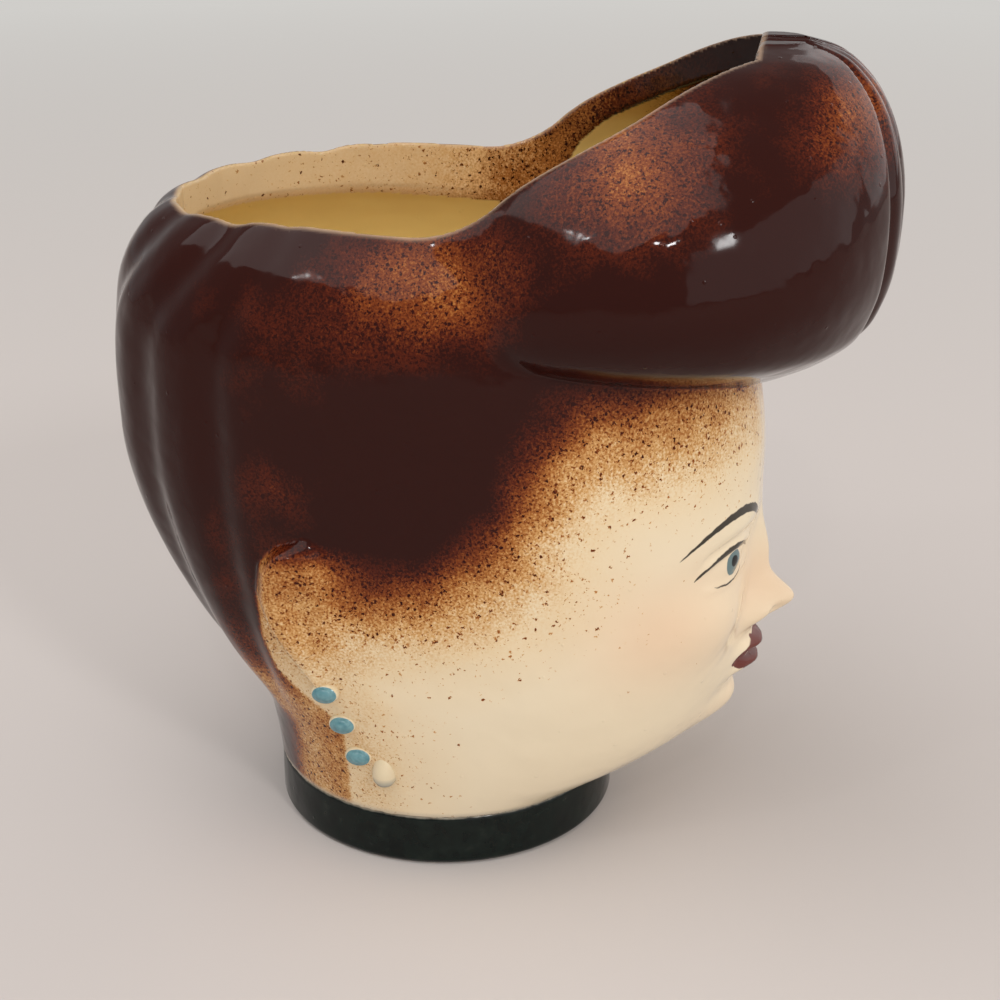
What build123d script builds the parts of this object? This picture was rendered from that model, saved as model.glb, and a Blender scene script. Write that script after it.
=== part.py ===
from build123d import *
import math
import os

# Head planter in glazed earthenware, in millimetres: a hollow head whose rolled hair is open on top.
# The face looks along -Y, +Z is up, and the origin is the centre of the foot's underside.

# Foot band and floor
foot_radius = 33.5
foot_height = 10.5
foot_edge = 0.8
floor_thickness = 5.0

# Head casting: reaches from the foot's axis, height above the foot, and wall
head_front = 61.0
head_back = 61.5
head_half_width = 45.5
head_height = 118.5
wall = 5.0

# Rolled hair over the forehead: its lower edge lies below the head's crown
roll_drop = 39.0
roll_bottom = foot_height + head_height - roll_drop
roll_height = 61.5
roll_front = 82.6
roll_half_length = 49.0
roll_half_width = 48.8
parting_depth = 1.6
strand_depth = 0.8

# Face: features are placed down from the hairline, where the rolled hair begins
hairline_height = roll_bottom
face_height = 70.0
face_half_width = 34.0
nose_reach = 8.5

# Locks of the back hair
lock_depth = 1.0

# Ears
ear_top = 71.0
ear_height = 31.4
ear_width = 19.0
ear_back = 24.5
ear_stand = 4.2
ear_sink = 3.0

# Earrings: a string of beads that leans forward below each ear lobe, with a drop beside the last one
bead_radius = 2.3
bead_height = 2.6
bead_sink = 1.2
bead_pitch = 7.4
bead_step = 2.4
bead_count = 3
drop_radius = 2.4
drop_height = 8.6
drop_sink = 0.9
drop_step = 9.4
drop_fall = 17.0

# Opening in the top, as seen from above
opening_back = 49.0
opening_front = 56.0
opening_half_width = 35.0
opening_depth = 44.0

# How far a cutting form runs past what it cuts
overrun = 12.0

# Powers of the rounded outlines: 2 is an ellipse, more is squarer
neck_power = 2.0
head_power = 2.3
roll_power = 2.1
neck_round_share = 0.3

# Rows: height, then front, back and side reach from the foot's radius (0) to the full reach (1)
head_outline_shares = (
    (0.000, 0.000, 0.000, 0.000),
    (0.021, 0.170, 0.005, 0.065),
    (0.051, 0.400, 0.015, 0.150),
    (0.089, 0.600, 0.030, 0.260),
    (0.131, 0.730, 0.055, 0.375),
    (0.173, 0.800, 0.140, 0.480),
    (0.224, 0.855, 0.300, 0.600),
    (0.278, 0.890, 0.460, 0.700),
    (0.333, 0.925, 0.600, 0.790),
    (0.401, 0.960, 0.755, 0.865),
    (0.477, 0.990, 0.890, 0.935),
    (0.561, 1.000, 0.980, 0.985),
    (0.637, 0.965, 1.000, 1.000),
    (0.713, 0.895, 1.000, 1.000),
    (0.781, 0.820, 0.970, 0.960),
    (0.840, 0.745, 0.900, 0.850),
    (0.890, 0.670, 0.790, 0.640),
    (0.928, 0.590, 0.640, 0.370),
    (0.962, 0.490, 0.320, 0.090),
    (1.000, 0.310, -0.220, -0.330),
)

# Rows: height, then front reach, half length and half width of the rolled hair
roll_outline_shares = (
    (0.000, 0.696, 0.561, 0.143),
    (0.020, 0.732, 0.622, 0.266),
    (0.049, 0.787, 0.694, 0.410),
    (0.089, 0.841, 0.786, 0.533),
    (0.130, 0.884, 0.815, 0.656),
    (0.179, 0.924, 0.855, 0.799),
    (0.228, 0.954, 0.880, 0.912),
    (0.293, 0.976, 0.893, 0.973),
    (0.374, 0.993, 0.880, 1.000),
    (0.472, 1.000, 0.862, 0.990),
    (0.585, 1.000, 0.848, 0.943),
    (0.683, 0.990, 0.800, 0.861),
    (0.780, 0.969, 0.704, 0.727),
    (0.862, 0.938, 0.561, 0.584),
    (0.927, 0.896, 0.408, 0.451),
    (0.967, 0.854, 0.286, 0.328),
    (1.000, 0.781, 0.122, 0.143),
)

# Rows: place across the face and down it, reach against the nose, half width and half height
face_relief_shares = (
    (0.00, 0.500, 0.38, 0.100, 0.110),
    (0.00, 0.625, 1.00, 0.125, 0.062),
    (0.17, 0.650, 0.36, 0.085, 0.036),
    (0.46, 0.330, 0.12, 0.280, 0.050),
    (0.47, 0.425, -0.36, 0.260, 0.080),
    (0.47, 0.425, 0.24, 0.175, 0.050),
    (0.62, 0.580, 0.30, 0.300, 0.130),
    (0.00, 0.780, 0.34, 0.340, 0.100),
    (0.00, 0.752, 0.22, 0.210, 0.030),
    (0.00, 0.812, 0.24, 0.170, 0.032),
    (0.00, 0.870, -0.14, 0.250, 0.040),
    (0.00, 0.945, 0.55, 0.280, 0.080),
)

# Rows: place along the opening from its back to its front, and half width
opening_outline_shares = (
    (0.000, 0.000),
    (0.035, 0.400),
    (0.140, 0.740),
    (0.320, 0.945),
    (0.510, 1.000),
    (0.660, 0.980),
    (0.790, 0.850),
    (0.910, 0.590),
    (1.000, 0.380),
)

# Rows: place down the ear, its front and back edge across it, and how far it stands out
ear_outline_shares = (
    (0.00, 0.42, 0.56, 0.20),
    (0.07, 0.24, 0.80, 0.60),
    (0.20, 0.08, 0.96, 0.90),
    (0.38, 0.02, 1.00, 1.00),
    (0.56, 0.06, 0.93, 0.90),
    (0.74, 0.16, 0.76, 0.70),
    (0.90, 0.28, 0.60, 0.50),
    (1.00, 0.40, 0.48, 0.20),
)

# Rows: place from an ear's front to its back edge, and share of the ear's stand, or below 0 of its sink
ear_section_shares = (
    (0.00, -1.00),
    (0.22, 0.15),
    (0.60, 0.75),
    (0.88, 1.00),
    (1.00, 0.45),
    (0.97, -1.00),
)

# Where the lowest point of an ear lobe lies across the ear, from its front
lobe_share = 0.44

# Rows: share of the radius and of the height, up the outline of a bead and of a drop
bead_outline_shares = ((0.0, 0.0), (1.0, 0.0), (0.7, 1.0), (0.0, 1.0))
drop_outline_shares = ((0.0, 0.0), (0.9, 0.15), (0.9, 0.5), (0.0, 1.0))

# Grooves in the rolled hair, as shares of its half width: the parting lines and the strands between
parting_share = 0.30
strand_share = 0.10
groove_width_share = 0.06

# Rows: share of the half turn from the front to the back, and the number of steps up to it
head_turn_shares = ((0.13, 8), (0.35, 7), (0.725, 7), (1.0, 11))
roll_turn_shares = ((0.13, 9), (0.41, 4), (1.0, 6))
plain_turn_shares = ((1.0, 8),)

# Rows: share of a form's height, and the number of levels up to it
head_level_shares = ((0.12, 3), (0.42, 12), (0.62, 4), (0.82, 2), (1.0, 5))
roll_level_shares = ((0.05, 2), (0.23, 5), (0.65, 6), (0.93, 5), (1.0, 3))
roll_hollow_shares = ((0.25, 5), (0.65, 4), (1.0, 5))
head_hollow_shares = ((0.85, 11), (1.0, 5))

# The back locks, as shares of the half turn: one wave each, four steps wide
lock_turn_share = 0.1
lock_fade_turn_shares = (0.655, 0.755)
lock_fade_height_shares = (0.12, 0.26)


def steps_up(rows):
    """Values from zero through each row's value, in that row's number of equal steps."""
    values = [0.0]
    for limit, count in rows:
        start = values[-1]
        values += [start + (limit - start) * (index + 1) / count for index in range(count)]
    return values


def share_at(rows, column, place):
    """One column of a table of shares at any place, on a smooth curve through its rows."""
    last = len(rows) - 1
    index = 0
    while index < last - 1 and place > rows[index + 1][0]:
        index += 1

    def slope(row):
        low = max(row - 1, 0)
        high = min(row + 1, last)
        return (rows[high][column] - rows[low][column]) / (rows[high][0] - rows[low][0])

    start, end = rows[index], rows[index + 1]
    span = end[0] - start[0]
    t = (place - start[0]) / span
    rise = t * t * (3 - 2 * t)
    bend_out = span * slope(index) * t * (1 - t) ** 2
    bend_in = span * slope(index + 1) * t * t * (1 - t)
    return start[column] * (1 - rise) + end[column] * rise + bend_out - bend_in


def fade(value, start, full):
    """A smooth step from 0 at start to 1 at full."""
    t = min(max((value - start) / (full - start), 0.0), 1.0)
    return t * t * (3 - 2 * t)


def oval_point(place, front, back, side, power):
    """A point of a rounded outline, at a share of the half turn from its front over the -X side."""
    turn = math.pi * place
    across, along = math.sin(turn), math.cos(turn)
    reach = (abs(across) ** power + abs(along) ** power) ** (-1 / power)
    return -side * reach * across, -(front if along > 0 else back) * reach * along


def mirrored_wire(half, places, side):
    """A smooth outline, even on both sides, from the points of its -X half, front to back."""
    near = [Vector(*point) for point in half]
    far = [Vector(-point.X, point.Y, point.Z) for point in reversed(near)]
    outward = Vector(-math.pi * side, 0, 0)
    right = Edge.make_spline(near, [outward, -outward], parameters=places, scale=False)
    back_places = [1 - place for place in reversed(places)]
    left = Edge.make_spline(far, [-outward, outward], parameters=back_places, scale=False)
    return Wire([right, left])


def head_roundness(share):
    """Power of the plain head's outline at a share of its height: round at the foot, squarer above."""
    return neck_power + (head_power - neck_power) * fade(share, 0.0, neck_round_share)


def head_reaches(share):
    """Front, back and side reach of the plain head at a share of its height."""
    fulls = (head_front, head_back, head_half_width)
    shares = [share_at(head_outline_shares, column, share) for column in (1, 2, 3)]
    return [foot_radius + part * (full - foot_radius) for part, full in zip(shares, fulls)]


def face_relief(x, height):
    """How far the face stands forward of the plain head at a place on it."""
    across = abs(x) / face_half_width
    down = (hairline_height - height) / face_height
    relief = 0.0
    for place, row, reach, half_width, half_height in face_relief_shares:
        fall = ((across - place) / half_width) ** 2 + ((down - row) / half_height) ** 2
        relief += reach * math.exp(-fall)
    return nose_reach * relief


def lock_relief(place, share):
    """How deep the grooves between the back locks are, by shares of the half turn and the height."""
    wave = (1 - math.cos(math.tau * (1 - place) / lock_turn_share)) / 2
    return lock_depth * wave * fade(place, *lock_fade_turn_shares) * fade(share, *lock_fade_height_shares)


def head_level(share):
    """The head's outline at a share of its height, with the face and the back locks."""
    height = foot_height + share * head_height
    front, back, side = head_reaches(share)
    places = steps_up(head_turn_shares)
    points = []
    for place in places:
        cut = lock_relief(place, share)
        x, y = oval_point(place, front, back - cut, side - cut, head_roundness(share))
        if y < 0:
            y -= face_relief(x, height)
        points.append((x, y, height))
    return mirrored_wire(points, places, side)


def head_form():
    """The head as a full form, from the foot to the crown."""
    return Solid.make_loft([head_level(share) for share in steps_up(head_level_shares)], True)


def head_hollow():
    """The space inside the head, one wall in from its plain form."""
    places = steps_up(plain_turn_shares)
    levels = [(foot_height - overrun, 0.0), (foot_height - overrun / 2, 0.0)]
    levels += [(foot_height + share * (head_height - wall), share) for share in steps_up(head_hollow_shares)]
    wires = []
    for height, share in levels:
        reaches = [reach - wall for reach in head_reaches(share)]
        outline = [oval_point(place, *reaches, head_roundness(share)) for place in places]
        wires.append(mirrored_wire([(x, y, height) for x, y in outline], places, reaches[2]))
    return Solid.make_loft(wires, True)


def skin_side(y, height):
    """How far the plain head's side is from its middle at a place."""
    share = (height - foot_height) / head_height
    front, back, side = head_reaches(share)
    power = head_roundness(share)
    along = abs(y) / (front if y < 0 else back)
    return side * (1 - along ** power) ** (1 / power)


def right_ear():
    """The ear on the -X side: a leaf that rises out of the cheek and ends in a step at its back."""
    wires = []
    for down, front, back, stand in ear_outline_shares:
        height = ear_top - down * ear_height
        points = []
        for place, rise in ear_section_shares:
            across = front + (back - front) * place
            y = ear_back - ear_width * (1 - across)
            out = ear_stand * stand * rise if rise > 0 else ear_sink * rise
            points.append((-skin_side(y, height) - out, y, height))
        wires.append(Wire([Edge.make_spline([Vector(*point) for point in points], periodic=True)]))
    return Solid.make_loft(wires, True)


def roll_level(share, inset=0.0, turn_shares=roll_turn_shares, grooves=True):
    """The rolled hair's outline at a share of its height, over both rolls and the parting."""
    front, length, side = (
        full * share_at(roll_outline_shares, column, share)
        for column, full in ((1, roll_front), (2, roll_half_length), (3, roll_half_width))
    )
    lines = ((parting_share, parting_depth), (strand_share, strand_depth))
    height = roll_bottom + inset + share * (roll_height - 2 * inset)
    places = steps_up(turn_shares)
    points = []
    for place in places:
        x, y = oval_point(place, length - inset, length - inset, side - inset, roll_power)
        if grooves and y < 0:
            across = abs(x) / side
            y += sum(
                depth * math.exp(-(((across - line) / groove_width_share) ** 2))
                for line, depth in lines
            )
        points.append((x, y + length - front, height))
    return mirrored_wire(points, places, side - inset)


def roll_form():
    """Both rolls and the parting between them, as one full form."""
    return Solid.make_loft([roll_level(share) for share in steps_up(roll_level_shares)], True)


def roll_hollow():
    """The space inside the rolled hair, one wall in from its outside."""
    return Solid.make_loft(
        [roll_level(share, wall, plain_turn_shares, False) for share in steps_up(roll_hollow_shares)], True
    )


def opening_cut():
    """The opening as cut with an upright knife: rounded at the back, straight across at the front."""
    length = opening_back + opening_front
    half = [
        (-width * opening_half_width, opening_back - place * length)
        for place, width in opening_outline_shares
    ]
    curve = Spline(*reversed(half), *[(-x, y) for x, y in half[1:]])
    outline = make_face([curve, Line(curve @ 1, curve @ 0)])
    top = roll_bottom + roll_height
    return extrude(Pos(0, 0, top - opening_depth) * outline, opening_depth + overrun).solid()


def parting_cut():
    """A slab through the rolled hair whose sides follow the two parting lines."""
    rows = roll_outline_shares
    half = [(row[3] * parting_share * roll_half_width, roll_bottom + row[0] * roll_height) for row in rows]
    side = Spline(*half)
    far_side = Spline(*[(-x, z) for x, z in half])
    bottom = Line(side @ 0, far_side @ 0)
    top = Line(side @ 1, far_side @ 1)
    outline = Plane.XZ * make_face([side, far_side, bottom, top])
    return extrude(outline, roll_front + overrun).solid()


def turned(outline_shares, radius, height):
    """A solid of revolution about Z that stands on the origin, from the shares of its outline."""
    half = [(share * radius, rise * height) for share, rise in outline_shares]
    face = Plane.XZ * make_face(Polyline(*half, close=True))
    return revolve(face, Axis.Z)


def right_earring(skin):
    """The beads and the drop below the ear on the -X side, each seated on the skin."""
    lobe_y = ear_back - ear_width * (1 - lobe_share)
    lobe_z = ear_top - ear_height
    pieces = []
    for index in range(bead_count):
        y = lobe_y - index * bead_step
        height = lobe_z - index * bead_pitch
        seat = Pos(bead_sink - skin_side(y, height), y, height)
        pieces.append(seat * Rot(0, -90, 0) * turned(bead_outline_shares, bead_radius, bead_height))
    y = lobe_y - drop_step
    height = lobe_z - drop_fall
    seat = Pos(drop_sink - skin_side(y, height), y, height - drop_height / 2)
    pieces.append(seat * turned(drop_outline_shares, drop_radius, drop_height))
    return Compound([piece.solid().cut(skin).solid() for piece in pieces])


def foot_band():
    """The upright collar that the planter stands on, with a softened lower edge."""
    seat = (Align.CENTER, Align.CENTER, Align.MIN)
    band = Cylinder(foot_radius, foot_height, align=seat)
    band = chamfer(band.edges().group_by(Axis.Z)[0], foot_edge)
    return band - Cylinder(foot_radius - wall, foot_height, align=seat)


def floor_disc():
    """The floor of the pot, luted into the foot band flush with its underside."""
    return Cylinder(foot_radius - wall, floor_thickness, align=(Align.CENTER, Align.CENTER, Align.MIN))


def head_skin():
    """The head with both ears, still full."""
    ear = right_ear()
    return head_form().fuse(ear, ear.mirror(Plane.YZ))


def head_casting(skin, hair):
    """The head shell: hollowed, cut back where the rolled hair meets it, and open on top."""
    return skin.cut(head_hollow()).cut(hair).cut(opening_cut())


def hair_shell(hair):
    """The rolled hair as a shell that is open to the head's hollow and to the top."""
    return hair.cut(opening_cut()).cut(roll_hollow()).cut(head_hollow())


def save(node, shape):
    """Writes one sub-part as parts/NODE.step."""
    export_step(shape, f"parts/{node}.step")


os.makedirs("parts", exist_ok=True)

full_head = head_skin()
full_hair = roll_form()
shell = hair_shell(full_hair)
rolls = shell.cut(parting_cut()).solids().sort_by(Axis.X)
earring = right_earring(full_head)

save("head_casting", head_casting(full_head, full_hair))
save("roll_right", rolls[0])
save("roll_left", rolls[-1])
save("centre_lock", shell.intersect(parting_cut()).solids()[0])
save("foot_band", foot_band())
save("floor_disc", floor_disc())
save("earring_right", earring)
save("earring_left", earring.mirror(Plane.YZ))
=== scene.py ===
import math

import bpy
import numpy as np
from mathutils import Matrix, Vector


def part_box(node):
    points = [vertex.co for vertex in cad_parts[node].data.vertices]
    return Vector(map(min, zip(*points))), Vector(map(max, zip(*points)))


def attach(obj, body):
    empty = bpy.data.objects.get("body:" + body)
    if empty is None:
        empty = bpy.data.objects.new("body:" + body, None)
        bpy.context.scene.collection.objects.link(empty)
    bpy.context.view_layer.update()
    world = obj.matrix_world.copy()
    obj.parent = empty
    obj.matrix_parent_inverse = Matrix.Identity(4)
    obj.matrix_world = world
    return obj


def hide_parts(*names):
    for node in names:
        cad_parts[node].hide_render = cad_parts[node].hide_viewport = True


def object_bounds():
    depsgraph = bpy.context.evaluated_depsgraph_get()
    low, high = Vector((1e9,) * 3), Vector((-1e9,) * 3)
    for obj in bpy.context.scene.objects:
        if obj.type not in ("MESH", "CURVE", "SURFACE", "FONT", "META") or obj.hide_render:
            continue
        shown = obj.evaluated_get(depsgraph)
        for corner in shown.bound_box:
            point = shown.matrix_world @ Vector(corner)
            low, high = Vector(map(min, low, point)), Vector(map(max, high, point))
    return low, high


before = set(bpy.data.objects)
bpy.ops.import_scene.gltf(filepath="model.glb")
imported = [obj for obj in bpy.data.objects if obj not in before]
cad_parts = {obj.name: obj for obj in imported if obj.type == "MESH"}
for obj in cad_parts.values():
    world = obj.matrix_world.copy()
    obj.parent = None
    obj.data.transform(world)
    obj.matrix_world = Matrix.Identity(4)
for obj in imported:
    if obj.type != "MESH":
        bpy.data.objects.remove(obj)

cad_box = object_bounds()
mm = 0.001


# The camera. It stands on the planter's right side, a little in front of it, and looks down at it
# through a long lens.
camera_place = Vector((-333.2, -69.7, 204.5)) * mm
camera_turn = math.radians(10.0)
camera_dip = math.radians(22.8)
camera_lens = 68.4

camera_data = bpy.data.cameras.new("camera")
camera_data.lens = camera_lens
camera = bpy.data.objects.new("camera", camera_data)
bpy.context.scene.collection.objects.link(camera)
camera.location = camera_place
looking = Vector((
    math.cos(camera_turn) * math.cos(camera_dip),
    math.sin(camera_turn) * math.cos(camera_dip),
    -math.sin(camera_dip),
))
camera.rotation_euler = looking.to_track_quat("-Z", "Y").to_euler()
bpy.context.scene.camera = camera


# The table. The planter stands on a flat table under a pale woven cloth. Away from the planter the cloth
# melts into the pale wall behind it.
table_reach, fade_start, fade_end = 1.6, 0.22, 1.1
table_colour = (0.585, 0.530, 0.500, 1.0)
far_colour = (0.63, 0.615, 0.59, 1.0)
table_mesh = bpy.data.meshes.new("table_top")
table_mesh.from_pydata([
    (-table_reach, -table_reach, 0), (table_reach, -table_reach, 0),
    (table_reach, table_reach, 0), (-table_reach, table_reach, 0),
], [], [(0, 1, 2, 3)])
table_top = bpy.data.objects.new("table_top", table_mesh)
bpy.context.scene.collection.objects.link(table_top)


def node(tree, kind, values=None, **settings):
    """A shader node whose inputs are set to values or joined to other nodes' sockets."""
    made = tree.nodes.new(kind)
    for key, value in settings.items():
        setattr(made, key, value)
    for key, value in (values or {}).items():
        if isinstance(value, bpy.types.NodeSocket):
            tree.links.new(value, made.inputs[key])
        else:
            made.inputs[key].default_value = value
    return made


cloth_material = bpy.data.materials.new("table_cloth")
cloth_material.use_nodes = True
tree = cloth_material.node_tree
cloth = tree.nodes["Principled BSDF"]
cloth.inputs["Base Color"].default_value = table_colour
cloth.inputs["Roughness"].default_value = 0.85
cloth.inputs["Specular IOR Level"].default_value = 0.15
from_pot = node(tree, "ShaderNodeTexCoord").outputs["Object"]
from_pot = node(tree, "ShaderNodeVectorMath", {0: from_pot}, operation="LENGTH").outputs["Value"]
far = node(tree, "ShaderNodeMapRange", {"Value": from_pot, "From Min": fade_start, "From Max": fade_end})
seen_straight = node(tree, "ShaderNodeLightPath").outputs["Is Camera Ray"]
far = node(tree, "ShaderNodeMath", {0: far.outputs["Result"], 1: seen_straight}, operation="MULTIPLY")
far_cloth = node(tree, "ShaderNodeEmission", {"Color": far_colour}).outputs["Emission"]
mixed = node(tree, "ShaderNodeMixShader", {"Fac": far.outputs[0], 1: cloth.outputs["BSDF"], 2: far_cloth})
tree.links.new(mixed.outputs["Shader"], tree.nodes["Material Output"].inputs["Surface"])
table_mesh.materials.append(cloth_material)


# The light. A ceiling panel and a wide pale wall in front give the soft light, a window on each side and
# two small lamps give the glints in the glaze, and the room is a dim grey all round.
planter_middle = Vector((0, 0, 0.07))
room_grey = (0.42, 0.415, 0.41, 1)


def soft_light(name, place, size, power):
    """A rectangular lamp that points at the middle of the planter."""
    data = bpy.data.lights.new(name, "AREA")
    data.shape = "RECTANGLE"
    data.size, data.size_y = size
    data.energy = power
    lamp = bpy.data.objects.new(name, data)
    bpy.context.scene.collection.objects.link(lamp)
    lamp.location = place
    aim = planter_middle - lamp.location
    lamp.rotation_euler = aim.to_track_quat("-Z", "Y").to_euler()


soft_light("ceiling", (-0.30, 0.40, 1.25), (1.8, 1.3), 12.5)
soft_light("front_wall", (-0.60, -1.30, 0.55), (2.8, 1.1), 8.0)
soft_light("far_window", (1.05, -0.85, 0.60), (1.5, 1.1), 4.5)
soft_light("near_window", (-0.97, -0.74, 0.85), (0.16, 0.20), 4.0)
soft_light("room_lamp", (-0.85, -0.12, 0.80), (0.05, 0.05), 0.60)
soft_light("second_lamp", (-0.70, 0.55, 0.90), (0.05, 0.05), 0.40)

room = bpy.data.worlds.new("room")
bpy.context.scene.world = room
room.use_nodes = True
tree = room.node_tree
seen_straight = node(tree, "ShaderNodeLightPath").outputs["Is Camera Ray"]
room_values = {"Factor": seen_straight, "A": room_grey, "B": far_colour}
room_colour = node(tree, "ShaderNodeMix", room_values, data_type="RGBA").outputs["Result"]
tree.links.new(room_colour, tree.nodes["Background"].inputs["Color"])
bpy.context.scene.view_settings.view_transform = "Standard"


# The head. It is slip cast in a two-part mould: a 5 mm shell of white earthenware with the face,
# both ears and the combed back hair, and a flat cut edge round the opening at the top.
foot_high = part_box("foot_band")[1]
foot_radius = foot_high.x / mm
foot_height = foot_high.z / mm
head_front = 61.0
head_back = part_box("head_casting")[1].y / mm
head_half_width = 45.5
head_height = 118.5
wall = 5.0
neck_power, head_power, neck_share = 2.0, 2.3, 0.3

# Rows: share of the head's height, then shares of its full reach in front, behind and to each side
head_shares = np.array((
    (0.000, 0.000, 0.000, 0.000), (0.021, 0.170, 0.005, 0.065), (0.051, 0.400, 0.015, 0.150),
    (0.089, 0.600, 0.030, 0.260), (0.131, 0.730, 0.055, 0.375), (0.173, 0.800, 0.140, 0.480),
    (0.224, 0.855, 0.300, 0.600), (0.278, 0.890, 0.460, 0.700), (0.333, 0.925, 0.600, 0.790),
    (0.401, 0.960, 0.755, 0.865), (0.477, 0.990, 0.890, 0.935), (0.561, 1.000, 0.980, 0.985),
    (0.637, 0.965, 1.000, 1.000), (0.713, 0.895, 1.000, 1.000), (0.781, 0.820, 0.970, 0.960),
    (0.840, 0.745, 0.900, 0.850), (0.890, 0.670, 0.790, 0.640), (0.928, 0.590, 0.640, 0.370),
    (0.962, 0.490, 0.320, 0.090), (1.000, 0.310, -0.220, -0.330),
))


def through(shares, column, places):
    """One column of a table of shares, on a smooth curve through its rows."""
    rows, values = shares[:, 0], shares[:, column]
    slopes = np.gradient(values, rows)
    slopes[1:-1] = (values[2:] - values[:-2]) / (rows[2:] - rows[:-2])
    places = np.clip(places, rows[0], rows[-1])
    index = np.clip(np.searchsorted(rows, places, side="right") - 1, 0, len(rows) - 2)
    span = rows[index + 1] - rows[index]
    t = (places - rows[index]) / span
    rise = t * t * (3 - 2 * t)
    bend = span * t * (1 - t) * (slopes[index] * (1 - t) - slopes[index + 1] * t)
    return values[index] * (1 - rise) + values[index + 1] * rise + bend


def fade(value, start, full):
    """A smooth step from 0 at start to 1 at full."""
    t = np.clip((value - start) / (full - start), 0, 1)
    return t * t * (3 - 2 * t)


def hump(gap, reach):
    """A soft ridge along the line where gap is zero."""
    return np.exp(-(gap / reach) ** 2)


def spot(across, up, half_width, half_height):
    """A soft round spot about the place where both gaps are zero."""
    return np.exp(-((across / half_width) ** 2 + (up / half_height) ** 2))


def oval_gap(x, y, front, back, side, power):
    """How far a place lies outside a rounded outline."""
    across = np.abs(x) / side
    along = np.abs(y) / np.where(y < 0, front, back)
    ratio = (across ** power + along ** power + 1e-12) ** (1 / power)
    return np.hypot(x, y) * (1 - 1 / ratio)


def head_gap(x, y, z, inset=0.0):
    """How far a place lies outside the plain head, or outside a form that is smaller by an inset."""
    share = (z - foot_height) / (head_height - inset)
    front, back, side = (
        foot_radius + through(head_shares, column, share) * (full - foot_radius) - inset
        for column, full in ((1, head_front), (2, head_back), (3, head_half_width))
    )
    power = neck_power + (head_power - neck_power) * fade(share, 0.0, neck_share)
    return np.maximum(oval_gap(x, y, front, back, side, power), z - foot_height - head_height + inset)


hairline_height, face_height, face_half_width, nose_reach = 90.0, 70.0, 34.0, 8.5
face_start, face_full = 5.0, 25.0

# Rows: place across and down the face, how far forward it stands, half width and half height, in shares
face_relief_shares = (
    (0.00, 0.500, 0.38, 0.100, 0.110),
    (0.00, 0.625, 1.00, 0.125, 0.062),
    (0.17, 0.650, 0.36, 0.085, 0.036),
    (0.46, 0.330, 0.12, 0.280, 0.050),
    (0.47, 0.425, -0.36, 0.260, 0.080),
    (0.47, 0.425, 0.30, 0.165, 0.045),
    (0.62, 0.580, 0.30, 0.300, 0.130),
    (0.00, 0.780, 0.34, 0.340, 0.100),
    (0.00, 0.755, 0.24, 0.190, 0.022),
    (0.00, 0.808, 0.27, 0.160, 0.025),
    (0.00, 0.870, -0.14, 0.250, 0.040),
    (0.00, 0.945, 0.55, 0.280, 0.080),
)


def face_relief(x, y, z):
    """How far the face stands forward of the plain head."""
    across = np.abs(x) / face_half_width
    down = (hairline_height - z) / face_height
    relief = np.zeros_like(x)
    for place, row, reach, half_width, half_height in face_relief_shares:
        relief += reach * spot(across - place, down - row, half_width, half_height)
    return nose_reach * relief * fade(-y, face_start, face_full)


lid_height, lid_middle, lid_half_width, lid_half_height = 63.4, 16.5, 9.5, 0.9
lid_bow, lid_reach, crease_rise, crease_depth = 1.6, 0.55, 2.0, 0.35
lower_lid_drop, lower_lid_bow, lower_lid_reach = 6.6, 1.0, 0.32
nose_foot = 45.0
wing_place, wing_rise, wing_half_width, wing_half_height, wing_reach = 5.2, 2.0, 2.3, 2.4, 0.7
nostril_place, nostril_half_width, nostril_half_height, nostril_depth = 2.6, 1.5, 1.0, 0.9
groove_height, groove_half_width, groove_half_height, groove_depth = 41.2, 1.3, 2.2, 0.4
mouth_height, mouth_half_width, mouth_bow, mouth_bow_length = 35.4, 10.0, 0.5, 2.2
upper_lip_rise, upper_lip_half_height, upper_lip_reach = 2.1, 1.2, 0.75
lower_lip_drop, lower_lip_half_height, lower_lip_reach = 2.2, 1.5, 0.9
lip_line_half_height, lip_line_depth = 0.7, 0.75
lid_ends, mouth_corners, front_of_face = (-0.1, 0.5), (0.0, 0.45), (25.0, 40.0)


def fine_face_relief(x, y, z):
    """The modelling tool's work on the face: eyelids, the wings of the nose and the lips."""
    across = np.abs(x)
    bow = 1 - ((across - lid_middle) / lid_half_width) ** 2
    on_lid = fade(bow, *lid_ends)
    upper = z - lid_height - lid_bow * (bow - 1)
    lower = z - lid_height + lower_lid_drop + lower_lid_bow * (bow - 1)
    crease = crease_depth * hump(upper - crease_rise, lid_half_height)
    relief = on_lid * (lid_reach * hump(upper, lid_half_height) - crease)
    relief += on_lid * lower_lid_reach * hump(lower, lid_half_height)
    wing = np.hypot((across - wing_place) / wing_half_width, (z - nose_foot - wing_rise) / wing_half_height)
    nostril = np.hypot((across - nostril_place) / nostril_half_width, (z - nose_foot) / nostril_half_height)
    relief += wing_reach * np.exp(-wing ** 4) - nostril_depth * np.exp(-nostril ** 2)
    on_mouth = fade(1 - across / mouth_half_width, *mouth_corners)
    parting = z - mouth_height + mouth_bow * np.cos(across / mouth_bow_length)
    upper_lip = upper_lip_reach * hump(parting - upper_lip_rise, upper_lip_half_height)
    lower_lip = lower_lip_reach * hump(parting + lower_lip_drop, lower_lip_half_height)
    relief += on_mouth * (upper_lip + lower_lip)
    relief -= on_mouth * lip_line_depth * hump(parting, lip_line_half_height)
    relief -= groove_depth * spot(across, z - groove_height, groove_half_width, groove_half_height)
    return relief * fade(-y, *front_of_face)


lock_depth, lock_turn, lock_sharpness = 1.1, math.radians(18.0), 1.6
lock_lean_low, lock_lean_high = math.radians(6.0), math.radians(17.0)
lean_start, lean_full = 100.0, 122.0
lock_edge_full, lock_edge_end = math.radians(50), math.radians(66)
lock_start, lock_full = 0.12, 0.26


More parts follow.
